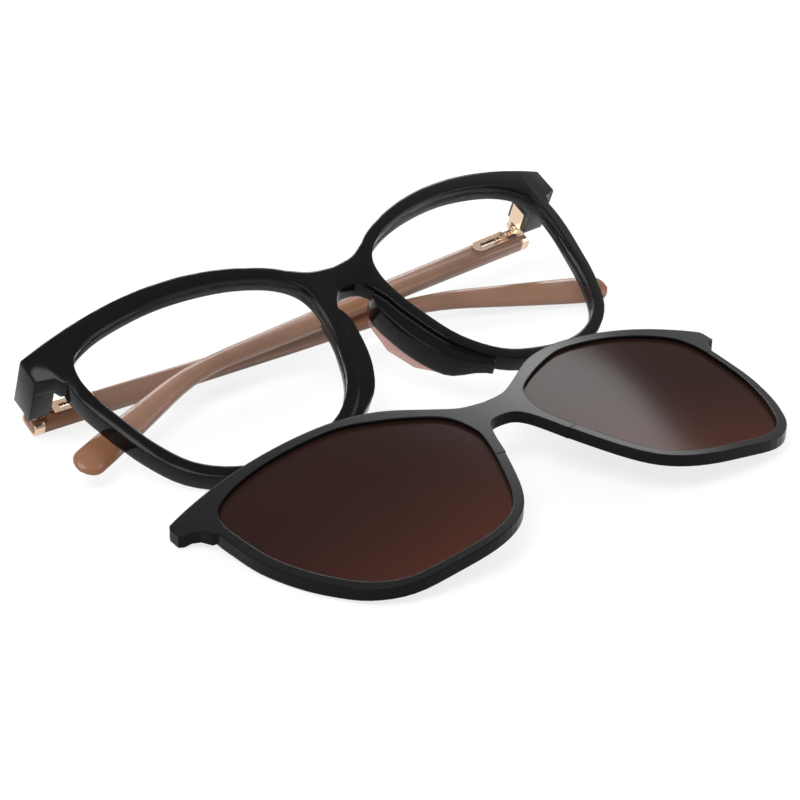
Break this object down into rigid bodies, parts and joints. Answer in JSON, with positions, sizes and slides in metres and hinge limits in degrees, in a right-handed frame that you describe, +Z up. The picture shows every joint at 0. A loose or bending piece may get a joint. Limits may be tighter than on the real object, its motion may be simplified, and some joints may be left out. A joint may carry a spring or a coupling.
{
  "type": "clip-on eyeglasses",
  "caption": "Acetate eyeglass frame with spring-hinged folding temples and a separate magnetic clip-on sunglass front lying before it.",
  "frame": {"origin": "middle of the footprint of the frame and the clip-on together, on the table", "axes": "+Z up from the table, +X to the right of a viewer in front of the lenses, +Y from the clip-on towards the frame's brow"},
  "size_m": [0.1438, 0.1124, 0.0319],
  "materials": {
    "black_acetate": "glossy black acetate",
    "clear_lens": "clear demo lens",
    "clear_acetate": "clear pinkish acetate",
    "brown_acetate": "milky coffee-brown acetate",
    "gold_metal": "polished rose-gold plated metal",
    "matt_black": "satin black",
    "brown_lens": "brown graded tint",
    "steel": "bright metal"
  },
  "bodies": {
    "front": {"front_frame": "black_acetate", "demo_lens_left": "clear_lens", "demo_lens_right": "clear_lens", "nose_pad_left": "clear_acetate", "nose_pad_right": "clear_acetate", "front_hinge_left": "gold_metal", "front_hinge_right": "gold_metal", "hinge_screw_left": "steel", "hinge_screw_right": "steel", "frame_magnet_left": "steel", "frame_magnet_right": "steel"},
    "slider_left": {"hinge_slider_left": "gold_metal", "spring_stop_left": "steel", "hinge_spring_left": "steel"},
    "temple_left": {"temple_left": "brown_acetate", "spring_housing_left": "gold_metal", "end_band_left": "gold_metal", "core_wire_left": "steel"},
    "slider_right": {"hinge_slider_right": "gold_metal", "spring_stop_right": "steel", "hinge_spring_right": "steel"},
    "temple_right": {"temple_right": "brown_acetate", "spring_housing_right": "gold_metal", "end_band_right": "gold_metal", "core_wire_right": "steel"},
    "clip": {"clip_frame": "matt_black", "clip_lens_left": "brown_lens", "clip_lens_right": "brown_lens", "clip_magnet_left": "steel", "clip_magnet_right": "steel"}
  },
  "joints": [
    {"name": "temple_fold_left", "type": "hinge", "parent": "front", "child": "slider_left", "pos_m": [-0.06499, 0.0527, 0.00523], "axis": [-0.0197, 0.8961, 0.4434], "range_deg": [0, 90.6]},
    {"name": "temple_flex_left", "type": "slide", "parent": "slider_left", "child": "temple_left", "axis": [0.997, -0.0749, 0.0187], "range_m": [0, 0.0015], "stiffness_N_per_m": 3000, "springref_m": -0.0005},
    {"name": "temple_fold_right", "type": "hinge", "parent": "front", "child": "slider_right", "pos_m": [0.06409, 0.0527, 0.01096], "axis": [0.0197, -0.8961, -0.4434], "range_deg": [0, 0.2]},
    {"name": "temple_flex_right", "type": "slide", "parent": "slider_right", "child": "temple_right", "axis": [-0.9941, -0.1081, -0.0026], "range_m": [0, 0.0015], "stiffness_N_per_m": 3000, "springref_m": -0.0005},
    {"name": "clip_lift", "type": "slide", "parent": "front", "child": "clip", "axis": [0, -0.5, 0.866], "range_m": [0, 0.06]}
  ]
}
